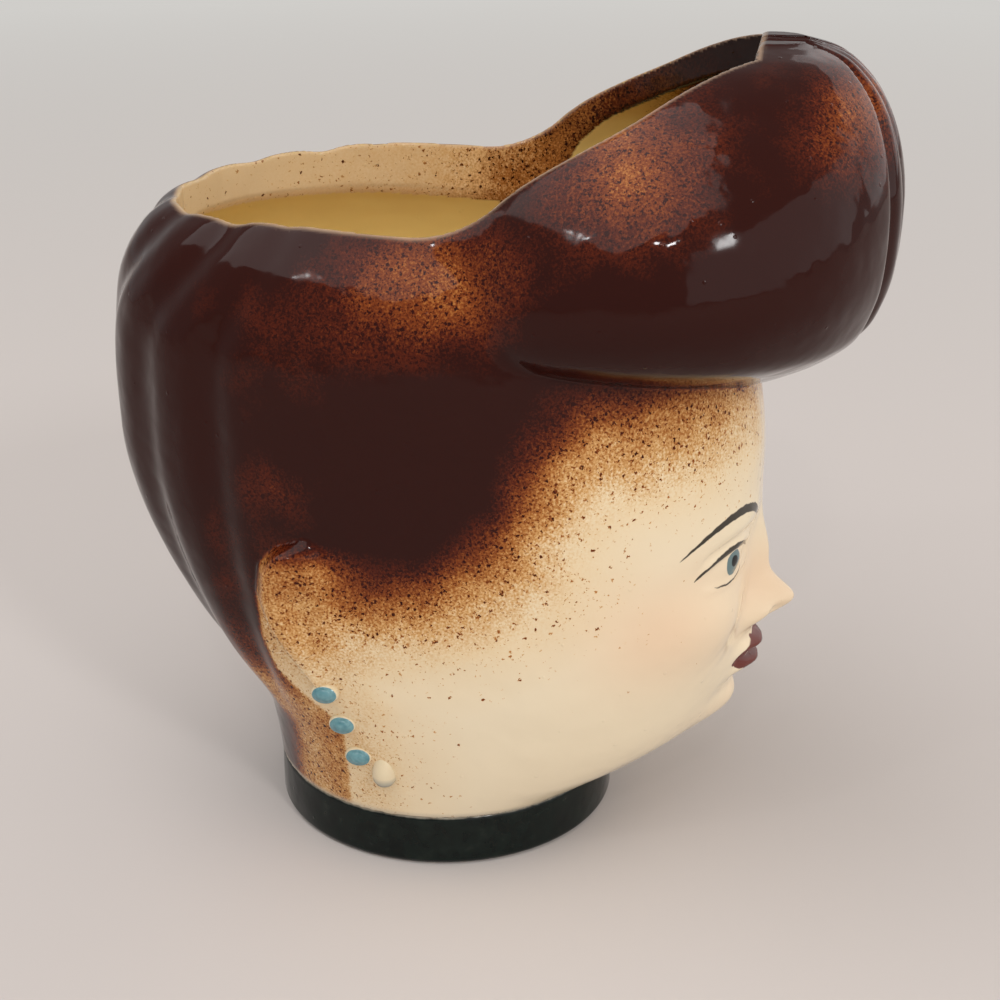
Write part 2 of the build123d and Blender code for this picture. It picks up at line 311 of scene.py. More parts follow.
def lock_relief(x, y, z):
    """How deep the comb lines of the back hair are: they lean outward where they near the crown."""
    turn = np.pi - np.abs(np.arctan2(x, -y))
    height = (z - foot_height) / head_height
    lean = lock_lean_low + (lock_lean_high - lock_lean_low) * fade(z, lean_start, lean_full)
    wave = (1 - np.cos(math.tau * (turn - lean) / lock_turn)) / 2
    reach = 1 - fade(turn, lock_edge_full, lock_edge_end)
    return lock_depth * wave ** lock_sharpness * reach * fade(height, lock_start, lock_full)


ear_top, ear_height, ear_width, ear_back, ear_stand, ear_inside = 71.0, 31.4, 19.0, 24.5, 4.2, 25
bowl_depth, bowl_place, bowl_half_width, bowl_down, bowl_half_height = 0.30, 0.62, 0.18, 0.45, 0.22
leaf_rise, leaf_step, ear_top_edge, ear_low_edge = (0.0, 0.9), (0.93, 1.10), (-0.02, 0.10), (0.94, 1.04)
lobe_thinning, lobe_range = 0.55, (0.45, 1.0)

# Rows: share of the ear's height from its top down, then shares of its width where it starts and ends
ear_shares = np.array((
    (0.00, 0.42, 0.56), (0.07, 0.24, 0.80), (0.20, 0.08, 0.96), (0.38, 0.02, 1.00),
    (0.56, 0.06, 0.93), (0.74, 0.16, 0.76), (0.90, 0.28, 0.60), (1.00, 0.40, 0.48),
))


def ear_relief(x, y, z):
    """How far an ear stands out of the side: a leaf that rises from the cheek and ends in a step."""
    down = (ear_top - z) / ear_height
    front, rear = (np.interp(down, ear_shares[:, 0], ear_shares[:, column]) for column in (1, 2))
    across = 1 - (ear_back - y) / ear_width
    place = (across - front) / (rear - front)
    rise = fade(place, *leaf_rise) * (1 - fade(place, *leaf_step))
    thinned = 1 - lobe_thinning * fade(down, *lobe_range)
    ends = fade(down, *ear_top_edge) * thinned * (1 - fade(down, *ear_low_edge))
    bowl = bowl_depth * spot(place - bowl_place, down - bowl_down, bowl_half_width, bowl_half_height)
    return ear_stand * np.maximum(rise * ends - bowl, 0) * (np.abs(x) > ear_inside)


# The rolled hair. It is cast hollow in three pieces, a roll on each side and a combed lock between them,
# and luted to the head along one curved seam. Two parting lines and two finer strands are cut into it.
roll_bottom, roll_height = 90.0, 61.5
roll_front, roll_half_length, roll_half_width = 82.6, 49.0, 48.8
roll_power = 2.1

# Rows: share of the rolls' height, then shares of their reach in front, of their length and of their width
roll_shares = np.array((
    (0.000, 0.696, 0.561, 0.143), (0.020, 0.732, 0.622, 0.266), (0.049, 0.787, 0.694, 0.410),
    (0.089, 0.841, 0.786, 0.533), (0.130, 0.884, 0.815, 0.656), (0.179, 0.924, 0.855, 0.799),
    (0.228, 0.954, 0.880, 0.912), (0.293, 0.976, 0.893, 0.973), (0.374, 0.993, 0.880, 1.000),
    (0.472, 1.000, 0.862, 0.990), (0.585, 1.000, 0.848, 0.943), (0.683, 0.990, 0.800, 0.861),
    (0.780, 0.969, 0.704, 0.727), (0.862, 0.938, 0.561, 0.584), (0.927, 0.896, 0.408, 0.451),
    (0.967, 0.854, 0.286, 0.328), (1.000, 0.781, 0.122, 0.143),
))


def roll_gap(x, y, z, inset=0.0):
    """How far a place lies outside the rolled hair, or outside a form that is smaller by an inset."""
    share = (z - roll_bottom - inset) / (roll_height - 2 * inset)
    front = roll_front * through(roll_shares, 1, share)
    length = roll_half_length * through(roll_shares, 2, share)
    side = roll_half_width * through(roll_shares, 3, share) - inset
    middle = length - front
    gap = oval_gap(x, y - middle, length - inset, length - inset, side, roll_power)
    ends = np.maximum(z - roll_bottom - roll_height + inset, roll_bottom + inset - z)
    return np.maximum(gap, ends)


parting_share, parting_depth, strand_share, strand_depth = 0.30, 1.6, 0.10, 0.8
cut_width_share, cut_start, cut_full = 0.05, 52.0, 62.0


def strand_relief(x, y, z):
    """How deep the parting lines and the strands between the rolls are."""
    share = (z - roll_bottom) / roll_height
    side = roll_half_width * through(roll_shares, 3, share)
    across = np.abs(x) / side
    depth = np.zeros_like(x)
    for place, cut in ((parting_share, parting_depth), (strand_share, strand_depth)):
        depth += cut * hump(across - place, cut_width_share)
    return depth * fade(-y, cut_start, cut_full)


# The opening. A long leaf-shaped slot, pointed behind and blunt in front, is cut straight down through
# the rolls and the crown while the clay is soft, and the plant goes in through it.
opening_back, opening_front, opening_half_width, opening_depth = 49.0, 56.0, 35.0, 44.0
plan_step, plan_side, plan_front, plan_back = 0.5, 60.0, 90.0, 70.0

# Rows: share of the opening's length from its back, and share of its half width
opening_shares = np.array((
    (0.000, 0.000), (0.035, 0.400), (0.140, 0.740), (0.320, 0.945), (0.510, 1.000),
    (0.660, 0.980), (0.790, 0.850), (0.910, 0.590), (1.000, 0.380),
))


def line_gap(across, up, line):
    """Signed distance to a closed line in a flat view: above zero inside it."""
    best = np.full(across.shape, 1e9)
    inside = np.zeros(across.shape, bool)
    for (ax, ay), (bx, by) in zip(line, np.roll(line, -1, axis=0)):
        ex, ey = bx - ax, by - ay
        t = np.clip(((across - ax) * ex + (up - ay) * ey) / max(ex * ex + ey * ey, 1e-9), 0, 1)
        best = np.minimum(best, np.hypot(across - ax - t * ex, up - ay - t * ey))
        if ay != by:
            inside ^= ((ay > up) != (by > up)) & (across < (bx - ax) * (up - ay) / (by - ay) + ax)
    return np.where(inside, best, -best)


plan_xs = np.arange(-plan_side, plan_side + 0.1, plan_step)
plan_ys = np.arange(-plan_front, plan_back + 0.1, plan_step)
places = np.linspace(0, 1, 161)
widths = np.maximum(through(opening_shares, 1, places), 0) * opening_half_width
widths[0] = 0
lengths = opening_back - places * (opening_back + opening_front)
outline = np.concatenate([np.stack([widths, lengths], 1), np.stack([-widths, lengths], 1)[::-1]])
plan = -line_gap(*np.meshgrid(plan_xs, plan_ys, indexing="ij"), outline)


def opening_gap(x, y, z):
    """How far a place lies outside the upright cut of the opening."""
    u = np.clip((x - plan_xs[0]) / plan_step, 0, plan.shape[0] - 1.001)
    v = np.clip((y - plan_ys[0]) / plan_step, 0, plan.shape[1] - 1.001)
    i, j = u.astype(int), v.astype(int)
    a, b = u - i, v - j
    flat = (plan[i, j] * (1 - a) + plan[i + 1, j] * a) * (1 - b)
    flat += (plan[i, j + 1] * (1 - a) + plan[i + 1, j + 1] * a) * b
    return np.maximum(flat, roll_bottom + roll_height - opening_depth - z)


# The skin. The cast pieces are luted together while soft and sponged over, so one surface runs over them
# all. It is found on a grid, evened out and settled on the form, and then cut into pieces at the seams.
seam_softness, crown_softness, crown_start, crown_full = 1.6, 8.0, 114.0, 124.0
hollow_softness, throat_softness, rim_softness = 6.0, 1.2, 1.9


def melt(a, b, width):
    """The union of two forms whose corner is filled softly over this width."""
    share = np.clip(0.5 + (b - a) / (2 * width), 0, 1)
    return b + (a - b) * share - width * share * (1 - share)


def skin_gap(x, y, z):
    """How far a place lies outside the whole skin of head and hair, still full."""
    head = head_gap(x, y, z) - face_relief(x, y, z) - fine_face_relief(x, y, z)
    head += lock_relief(x, y, z) - ear_relief(x, y, z)
    rolls = roll_gap(x, y, z) + strand_relief(x, y, z)
    soft = seam_softness + crown_softness * fade(z, crown_start, crown_full)
    return melt(head, rolls, soft)


def hollow_gap(x, y, z):
    """How far a place lies outside the hollow."""
    head = np.where(z < foot_height, np.hypot(x, y) - foot_radius + wall, head_gap(x, y, z, wall))
    return melt(head, roll_gap(x, y, z, wall), hollow_softness)


def clay_gap(points):
    """How far places lie outside the clay of the head and hair: negative in the wall."""
    x, y, z = points.T
    skin = skin_gap(x, y, z)
    hollow = melt(hollow_gap(x, y, z), opening_gap(x, y, z), throat_softness)
    clay = -melt(-skin, hollow, rim_softness)
    return np.maximum(clay, foot_height - z)


def grid_points(low, counts, step):
    """All places of a regular grid."""
    axes = [low[k] + np.arange(counts[k]) * step for k in range(3)]
    return np.stack([part.ravel() for part in np.meshgrid(*axes, indexing="ij")], 1)


def surface_net(gap, low, high, step):
    """A skin of four-sided faces over the places where gap is zero, found near a coarser net first."""
    coarse, near_cells, batch = 4, 1.4, 400000
    coarse_counts = np.ceil((high - low) / (coarse * step)).astype(int) + 1
    counts = (coarse_counts - 1) * coarse + 1
    field = gap(grid_points(low, coarse_counts, coarse * step)).reshape(coarse_counts)
    for axis in range(3):
        places = np.arange(counts[axis]) / coarse
        first = np.minimum(places.astype(int), coarse_counts[axis] - 2)
        share = (places - first).reshape([-1 if k == axis else 1 for k in range(3)])
        field = field.take(first, axis) * (1 - share) + field.take(first + 1, axis) * share
    near = np.argwhere(np.abs(field) < near_cells * coarse * step)
    for part in np.array_split(near, max(len(near) // batch, 1)):
        field[tuple(part.T)] = gap(low + part * step)
    solid = field < 0
    cells = counts - 1
    rings, crossings = [], []
    for axis in range(3):
        one, two = (axis + 1) % 3, (axis + 2) % 3
        lower, upper = [slice(None)] * 3, [slice(None)] * 3
        lower[axis], upper[axis] = slice(None, -1), slice(1, None)
        starts = np.argwhere(solid[tuple(lower)] != solid[tuple(upper)])
        starts = starts[(starts[:, one] > 0) & (starts[:, two] > 0)]
        starts = starts[(starts[:, one] < cells[one]) & (starts[:, two] < cells[two])]
        a, b = field[tuple(lower)][tuple(starts.T)], field[tuple(upper)][tuple(starts.T)]
        places = starts.astype(float)
        places[:, axis] += a / (a - b)
        ring = []
        for back_one, back_two in ((0, 0), (1, 0), (1, 1), (0, 1)):
            cell = starts.copy()
            cell[:, one] -= back_one
            cell[:, two] -= back_two
            ring.append(np.ravel_multi_index(cell.T, cells))
        ring = np.stack(ring, 1)
        ring[a > 0] = ring[a > 0][:, ::-1]
        rings.append(ring)
        crossings.append(places)
    rings, crossings = np.concatenate(rings), np.concatenate(crossings)
    number = np.unique(rings, return_inverse=True)[1].reshape(rings.shape)
    hits = np.bincount(number.ravel())
    corners = np.repeat(crossings, 4, axis=0)
    middles = np.stack([np.bincount(number.ravel(), weights=corners[:, k]) / hits for k in range(3)], 1)
    return middles * step + low, number


def slope_of(gap, points, reach=0.05):
    """The direction in which gap grows fastest."""
    slope = np.empty_like(points)
    for k in range(3):
        ahead, behind = points.copy(), points.copy()
        ahead[:, k] += reach
        behind[:, k] -= reach
        slope[:, k] = (gap(ahead) - gap(behind)) / (2 * reach)
    return slope


def settle(gap, points, most, rounds=3):
    """Moves points onto the surface where gap is zero."""
    for _ in range(rounds):
        slope = slope_of(gap, points)
        step = gap(points)[:, None] * slope / np.maximum((slope ** 2).sum(1), 1e-3)[:, None]
        size = np.linalg.norm(step, axis=1, keepdims=True)
        points = points - step * np.minimum(1, most / np.maximum(size, 1e-9))
    return points


def relax(points, quads, amount=0.5):
    """Moves each point part of the way to the middle of its neighbours."""
    total, hits = np.zeros_like(points), np.zeros(len(points))
    for k in range(4):
        for other in (quads[:, (k + 1) % 4], quads[:, (k + 3) % 4]):
            hits += np.bincount(quads[:, k], minlength=len(points))
            for c in range(3):
                total[:, c] += np.bincount(quads[:, k], weights=points[other, c], minlength=len(points))
    return points + amount * (total / hits[:, None] - points)


grain_step = 0.62
margin = 3.0
box_low, box_high = (np.array(corner) / mm for corner in cad_box)
net_low = np.array([box_low[0], box_low[1], foot_height]) - margin
net_high = box_high + margin
skin_points, skin_quads = surface_net(clay_gap, net_low, net_high, grain_step)
for _ in range(2):
    skin_points = relax(skin_points, skin_quads)
    skin_points = settle(clay_gap, skin_points, grain_step * 0.6, 2)
skin_points = np.clip(skin_points, box_low, box_high)


def parting_gap(points):
    """Below zero between the two parting lines."""
    share = (points[:, 2] - roll_bottom) / roll_height
    return np.abs(points[:, 0]) - parting_share * roll_half_width * through(roll_shares, 3, share)


def seat_gap(points):
    """Below zero on the rolled hair's side of its joint with the head."""
    x, y, z = points.T
    return roll_gap(x, y, z) - head_gap(x, y, z)


middles = skin_points[skin_quads].mean(1)
hair = (seat_gap(middles) < 0) & (middles[:, 2] > roll_bottom)
centre = hair & (parting_gap(middles) < 0)
piece_of_face = np.where(centre, 1, np.where(hair & (middles[:, 0] < 0), 2, np.where(hair, 3, 0)))


def new_piece(name, points, quads, normals=None, masks=None):
    """A piece of the planter as a mesh object, in metres, riding on the one body."""
    used = np.unique(quads)
    number = np.zeros(len(points), int)
    number[used] = np.arange(len(used))
    mesh = bpy.data.meshes.new(name)
    mesh.from_pydata((points[used] * mm).tolist(), [], number[quads].tolist())
    mesh.polygons.foreach_set("use_smooth", [True] * len(mesh.polygons))
    for key, values in (masks or {}).items():
        layer = mesh.attributes.new(key, "FLOAT", "POINT")
        layer.data.foreach_set("value", values[used].astype(np.float32))
    if normals is not None:
        mesh.normals_split_custom_set_from_vertices(normals[used].tolist())
    piece = bpy.data.objects.new(name, mesh)
    bpy.context.scene.collection.objects.link(piece)
    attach(piece, "root")
    return piece


# The sprayed coat. The brown is sprayed up to the hairline and over the hair, thin at its edges and thick
# on the rolls; the ears get a light pass, the cheeks a blush, a thin pale line runs along the cut rim, and
# the foot is wiped.

# Rows: place from front to back and height along the line where the brown ends on each side
hairline = np.array((
    (-95.0, 91.0), (-58.0, 95.0), (-41.0, 93.5), (-33.0, 92.0), (-28.0, 88.5), (-24.5, 83.0),
    (-20.5, 76.0), (-16.0, 70.0), (-10.0, 65.0), (-3.0, 61.0), (6.0, 57.5), (16.0, 54.0),
    (23.0, 48.0), (21.0, 38.0), (15.5, 32.0), (14.0, 24.0), (15.0, 13.0), (16.0, 0.0),
    (99.0, 0.0), (99.0, 199.0), (-95.0, 199.0),
))

# Rows: the same along the outline of an ear and of the cheek below it, closed in front
ear_line = np.array((
    (4.0, 78.0), (14.0, 73.0), (20.0, 71.0), (24.5, 66.0), (26.3, 58.0), (26.3, 49.0), (24.0, 41.5),
    (19.0, 37.0), (14.5, 34.0), (12.0, 29.0), (12.0, 22.0), (13.0, 0.0), (-90.0, 0.0), (-90.0, 78.0),
))

# Rows: middle from front to back and in height, half length, half height, and how much darker (above zero)
# or lighter (below zero) the brown is made there
brown_patches = (
    (-5.0, 84.0, 15.0, 15.0, 0.30), (-39.0, 110.0, 16.0, 8.0, 0.25), (16.0, 106.0, 15.0, 11.0, -0.20),
    (-8.0, 116.0, 17.0, 11.0, -0.54), (-38.0, 136.0, 15.0, 12.0, -0.50), (-73.0, 142.0, 9.0, 9.0, -0.50),
    (14.0, 79.0, 9.0, 6.0, -0.14), (23.0, 80.0, 9.0, 7.0, -0.18),
    (-22.0, 60.0, 16.0, 10.0, 0.06), (-44.0, 84.0, 14.0, 7.0, 0.10),
)

# Rows: places, and how thick the brown lies there: by the distance inside the hairline, up the ear, up
# the skin behind the ear, and from the back of the cut rim to its front
coat_by_line = ((-27, -16, -8, 0, 6, 12, 20), (0.0, 0.055, 0.16, 0.42, 0.80, 1.0, 1.1))
coat_on_ear = ((38, 44, 50, 58, 66), (0.10, 0.17, 0.24, 0.33, 0.42))
coat_behind_ear = ((30, 36, 42, 50), (0.35, 0.40, 0.68, 0.96))
coat_on_rim = ((-45.0, -10.0, 5.0, 25.0, 42.0), (0.05, 0.12, 0.34, 0.66, 1.1))
coat_on_rolls, coat_in_well = 1.04, 1.15

# Where one coat ends and the next begins: at the throat and the rolls, on an ear, behind it, and at the foot
throat_edge, seam_edge, roll_edge = (0.3, 1.6), (-0.8, 0.8), (roll_bottom - 3.5, roll_bottom - 1.0)
ear_edge, ear_front, ear_crown = (-0.4, 0.8), (2.0, 13.0), (65.0, 72.0)
nape_edge, nape_end, nape_crown = (-0.3, 0.7), (9.0, 16.0), (70.0, 77.0)
rim_edge, well_edge, foot_edge = (0.7, 1.5), (30.0, 60.0), (foot_height + 0.3, foot_height + 1.5)

# Rows: strength, height, half width and half height, and where it starts and is full towards the front
blushes = ((0.6, 50, 12, 9, 40, 55), (0.4, 24, 14, 7, 30, 50))
cheek_strength, cheek_y, cheek_z, cheek_half_length, cheek_half_height = 0.8, -46, 52, 13, 12


def masks_of(points):
    """Where the glazes were sprayed, poured and wiped: one value for each point and mask."""
    x, y, z = points.T
    skin, hollow, cut = skin_gap(x, y, z), hollow_gap(x, y, z), opening_gap(x, y, z)
    outside = fade(np.minimum(hollow, cut + 0.6), *throat_edge)
    brown = np.interp(line_gap(y, z, hairline), *coat_by_line)
    rolled = fade(head_gap(x, y, z) - roll_gap(x, y, z), *seam_edge) * fade(z, *roll_edge)
    brown = brown + rolled * np.maximum(coat_on_rolls - brown, 0)
    # Soft patches make the brown darker or lighter in places.
    for middle, height, half_length, half_height, amount in brown_patches:
        brown += amount * spot(y - middle, z - height, half_length, half_height)
    on_ear = line_gap(y, z, ear_line)
    ear_share = fade(on_ear, *ear_edge) * fade(y, *ear_front) * (1 - fade(z, *ear_crown))
    brown += ear_share * (np.interp(z, *coat_on_ear) - brown)
    back_share = fade(-on_ear, *nape_edge) * (1 - fade(-on_ear, *nape_end)) * (1 - fade(z, *nape_crown))
    brown += back_share * (np.interp(z, *coat_behind_ear) - brown)
    cheek = cheek_strength * spot(y - cheek_y, z - cheek_z, cheek_half_length, cheek_half_height)
    for strength, height, half_width, half_height, start, full in blushes:
        cheek += strength * spot(x, z - height, half_width, half_height) * fade(-y, start, full)
    return {
        "outside": outside, "brown": brown, "well_brown": coat_in_well * fade(-y, *well_edge),
        "lip": (1 - fade(np.hypot(cut, skin), *rim_edge)) * (z > roll_bottom),
        "cheek": cheek, "foot": 1 - fade(z, *foot_edge),
        "cut_face": ((np.abs(cut) < 0.9) & (skin < -0.6)).astype(float),
        "rim_brown": np.interp(-y, *coat_on_rim),
    }


skin_normals = slope_of(clay_gap, skin_points, 0.25)
skin_normals /= np.linalg.norm(skin_normals, axis=1, keepdims=True)
skin_masks = masks_of(skin_points)
pieces = {}
for index, name, cad_node, slot in (
    (0, "glazed_head", "head_casting", "cream_and_brown_glaze"),
    (1, "glazed_centre_lock", "centre_lock", "brown_glaze"),
    (2, "glazed_roll_right", "roll_right", "brown_glaze"),
    (3, "glazed_roll_left", "roll_left", "brown_glaze"),
):
    faces = skin_quads[piece_of_face == index]
    pieces[name] = new_piece(name, skin_points, faces, skin_normals, skin_masks)
    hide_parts(cad_node)


# The glazes. The cream glaze is dipped; the brown was sprayed over it in fine drops that run together
# where the coat is thick, and the eyes, brows and lips were brushed on before the last clear firing.
def sums(tree, operation, *values):
    """The result of a Math node."""
    return node(tree, "ShaderNodeMath", dict(enumerate(values)), operation=operation).outputs[0]


def product(tree, first, *others):
    """Values multiplied one after another."""
    for other in others:
        first = sums(tree, "MULTIPLY", first, other)
    return first


def arrows(tree, operation, *values):
    """A Vector Math node."""
    return node(tree, "ShaderNodeVectorMath", dict(enumerate(values)), operation=operation)


def noise(tree, place, scale, detail):
    """Soft noise about 0.5."""
    values = {"Vector": place, "Scale": scale, "Detail": detail}
    return node(tree, "ShaderNodeTexNoise", values).outputs["Fac"]


def spread(tree, value, low, high, to_low=0.0, to_high=1.0):
    """A value moved smoothly from one range to another and held at its ends."""
    ranges = {"Value": value, "From Min": low, "From Max": high, "To Min": to_low, "To Max": to_high}
    return node(tree, "ShaderNodeMapRange", ranges, interpolation_type="SMOOTHSTEP").outputs["Result"]


def blend(tree, share, first, second):
    """Two colours mixed by a share."""
    values = {"Factor": share, 6: first, 7: second}
    return node(tree, "ShaderNodeMix", values, data_type="RGBA").outputs[2]


def ramp(tree, value, stops):
    """A colour ramp through rows of place and colour."""
    made = node(tree, "ShaderNodeValToRGB", {"Fac": value})
    points = made.color_ramp.elements
    while len(points) < len(stops):
        points.new(0.5)
    for point, (place, colour) in zip(points, stops):
        point.position = place
        point.color = (*colour, 1.0)
    return made.outputs["Color"]


def effect(name, inputs, outputs):
    """An empty shader group with named sockets, and its own input and output nodes."""
    tree = bpy.data.node_groups.new(name, "ShaderNodeTree")
    for direction, rows in (("INPUT", inputs), ("OUTPUT", outputs)):
        for socket_name, kind in rows:
            tree.interface.new_socket(name=socket_name, in_out=direction, socket_type=kind)
    return tree, tree.nodes.new("NodeGroupInput").outputs, tree.nodes.new("NodeGroupOutput").inputs


def placed(tree, group, values):
    """A shader group placed in a material with its own values."""
    return node(tree, "ShaderNodeGroup", values, node_tree=group).outputs


def mask(tree, name):
    """One of the masks stored in the mesh."""
    return node(tree, "ShaderNodeAttribute", attribute_name=name).outputs["Fac"]


def new_material(name):
    """A material, its nodes, its shader, and the place on the piece in millimetres."""
    material = bpy.data.materials.new(name)
    material.use_nodes = True
    tree = material.node_tree
    place = node(tree, "ShaderNodeTexCoord").outputs["Object"]
    place = node(tree, "ShaderNodeVectorMath", {0: place, "Scale": 1 / mm}, operation="SCALE")
    return material, tree, tree.nodes["Principled BSDF"], place.outputs[0]


def bumped(tree, shader, height, strength, distance):
    """Gives a shader the bumps of a height."""
    bump = node(tree, "ShaderNodeBump", {"Height": height, "Strength": strength, "Distance": distance})
    tree.links.new(bump.outputs["Normal"], shader.inputs["Normal"])


number, vector = "NodeSocketFloat", "NodeSocketVector"

# How dark a sprayed coat looks: cloudy, with drops of two sizes that land closer where it is thicker
spray_drops, sent, result = effect(
    "spray_drops", [("Place", vector), ("Coat", number)], [("Tone", number)]
)
tree = spray_drops
cloud = noise(tree, sent["Place"], 0.13, 3.0)
grain = noise(tree, sent["Place"], 2.3, 2.0)
bent = node(tree, "ShaderNodeTexNoise", {"Vector": sent["Place"], "Scale": 2.4, "Detail": 1.0})
bent = arrows(tree, "ADD", bent.outputs["Color"], sent["Place"]).outputs[0]
wet = spread(tree, sent["Coat"], 0.01, 0.28)
spotty = spread(tree, sent["Coat"], 0.78, 1.12, 1.0, 0.08)
clouded = product(tree, sums(tree, "SUBTRACT", cloud, 0.5), 0.42, wet)
coat = sums(tree, "ADD", sent["Coat"], clouded)
grained = product(tree, sums(tree, "SUBTRACT", grain, 0.5), 0.62, wet)
drops = None
for scale, landing, darkness in ((1.05, 1.65, 0.66), (2.0, 2.0, 0.38)):
    cells = node(tree, "ShaderNodeTexVoronoi", {"Vector": bent, "Scale": scale})
    cell = node(tree, "ShaderNodeSeparateColor", {"Color": cells.outputs["Color"]})
    drop = spread(tree, cells.outputs["Distance"], 0.20, 0.38, 1.0, 0.0)
    landed = sums(tree, "LESS_THAN", cell.outputs["Red"], product(tree, coat, landing))
    strength = product(tree, spread(tree, cell.outputs["Green"], 0, 1, 0.35, 1.0), darkness)
    drop = product(tree, drop, landed, strength)
    drops = drop if drops is None else sums(tree, "MAXIMUM", drops, drop)
spots = product(tree, sums(tree, "ADD", grained, drops), spotty)
tree.links.new(sums(tree, "ADD", coat, spots), result["Tone"])

# The height of a fired glaze: a slow wave, a fine orange peel, and a few specks of kiln dust
glaze_relief, sent, result = effect(
    "glaze_relief",
    [("Place", vector), ("Wave", number), ("Peel", number), ("Specks", number)], [("Height", number)],
)
tree = glaze_relief
wave = noise(tree, sent["Place"], 0.085, 2.0)
peel = noise(tree, sent["Place"], 0.42, 1.0)
dust = node(tree, "ShaderNodeTexVoronoi", {"Vector": sent["Place"], "Scale": 0.30})
dust_colour = node(tree, "ShaderNodeSeparateColor", {"Color": dust.outputs["Color"]})
speck = spread(tree, dust.outputs["Distance"], 0.05, 0.13, 1.0, 0.0)
speck = product(tree, speck, sums(tree, "LESS_THAN", dust_colour.outputs["Red"], 0.4))
height = product(tree, wave, sent["Wave"])
height = sums(tree, "ADD", height, product(tree, peel, sent["Peel"]))
height = sums(tree, "ADD", height, product(tree, speck, sent["Specks"]))
tree.links.new(height, result["Height"])

# Where one stroke of a brush lies: an arc about a centre, wide in its middle and thin at its ends
brush_arc, sent, result = effect(
    "brush_arc",
    [("Place", vector), ("Centre", vector), ("Radius", number), ("Turn", number), ("Sweep", number),
     ("Width", number), ("Lean", number)], [("Mask", number)],
)
tree = brush_arc
reach = arrows(tree, "SUBTRACT", sent["Place"], sent["Centre"]).outputs[0]
parts = node(tree, "ShaderNodeSeparateXYZ", {"Vector": reach}).outputs
turn = sums(tree, "SUBTRACT", sums(tree, "ARCTAN2", parts["X"], parts["Z"]), sent["Turn"])
turn = sums(tree, "WRAP", turn, math.pi, -math.pi)
share = sums(tree, "DIVIDE", turn, sent["Sweep"])
taper = sums(tree, "SUBTRACT", 1.0, product(tree, share, share))
taper = sums(tree, "SQRT", sums(tree, "MAXIMUM", taper, 0.0))
taper = product(tree, taper, sums(tree, "SUBTRACT", 1.0, product(tree, share, sent["Lean"])))
away = sums(tree, "SUBTRACT", arrows(tree, "LENGTH", reach).outputs["Value"], sent["Radius"])
edge = sums(tree, "SUBTRACT", product(tree, taper, sent["Width"]), sums(tree, "ABSOLUTE", away))
stroke = product(tree, spread(tree, edge, -0.10, 0.14), spread(tree, taper, 0.02, 0.15))
tree.links.new(stroke, result["Mask"])

cream, cheek_peach = (0.860, 0.735, 0.530), (0.820, 0.510, 0.320, 1)
ochre, pooled_ochre = (0.960, 0.690, 0.230), (0.760, 0.480, 0.120)
pale_rim_line, wiped_foot = (0.58, 0.38, 0.25, 1), (0.55, 0.47, 0.36, 1)
spray_stops = (
    (0.00, cream), (0.12, (0.820, 0.630, 0.385)), (0.28, (0.640, 0.355, 0.130)),
    (0.44, (0.400, 0.145, 0.032)), (0.60, (0.205, 0.046, 0.009)), (0.80, (0.082, 0.0120, 0.0038)),
    (1.00, (0.026, 0.0040, 0.0022)),
)
rim_stops = (
    (0.00, (0.950, 0.720, 0.420)), (0.20, (0.800, 0.470, 0.190)), (0.45, (0.380, 0.140, 0.030)),
    (0.70, (0.085, 0.018, 0.006)), (1.00, (0.012, 0.005, 0.004)),
)
well_stops = (
    (0.00, ochre), (0.22, (0.620, 0.360, 0.090)), (0.45, (0.300, 0.105, 0.022)),
    (0.70, (0.070, 0.016, 0.006)), (1.00, (0.012, 0.005, 0.004)),
)
brow_black, iris_blue, lip_red = (0.007, 0.006, 0.006, 1), (0.095, 0.175, 0.190, 1), (0.120, 0.010, 0.010, 1)
lid_edge_low, lid_edge_high = 62.6, 62.9

# Rows: middle of an arc across the face and up it, its radius, the direction of its middle from straight
# up, half its sweep, half the width of the brush, and how much wider it starts than it ends
brow_arcs = ((18.4, 54.4, 16.4, 0.0, 0.82, 0.80, 0.45),)
lash_arcs = ((17.6, 47.8, 15.6, 0.0, 0.64, 0.62, -0.15), (17.2, 72.2, 15.5, math.pi, 0.36, 0.22, 0.0))
iris_arcs = ((16.6, 60.2, 0.0, 0.0, 9.0, 2.5, 0.0),)
pupil_arcs = ((16.6, 60.5, 0.0, 0.0, 9.0, 1.15, 0.0),)
lip_arcs = (
    (0.0, 10.8, 26.3, 0.0, 0.37, 1.95, 0.0), (2.8, 38.0, 0.0, 0.0, 9.0, 1.20, 0.0),
    (0.0, 60.0, 26.4, math.pi, 0.33, 1.45, 0.0),
)


def painted(tree, place, arcs):
    """One mask for all strokes of a painted feature, the same on both sides of the face."""
    whole = None
    for x, z, radius, turn, sweep, width, lean in arcs:
        stroke = placed(tree, brush_arc, {
            "Place": place, "Centre": (x, 0, z), "Radius": radius, "Turn": turn, "Sweep": sweep,
            "Width": width, "Lean": lean,
        })["Mask"]
        whole = stroke if whole is None else sums(tree, "MAXIMUM", whole, stroke)
    return whole


def sprayed(tree, place, coat):
    """How dark a sprayed coat looks where its thickness is stored in a mask."""
    return placed(tree, spray_drops, {"Place": place, "Coat": mask(tree, coat)})["Tone"]


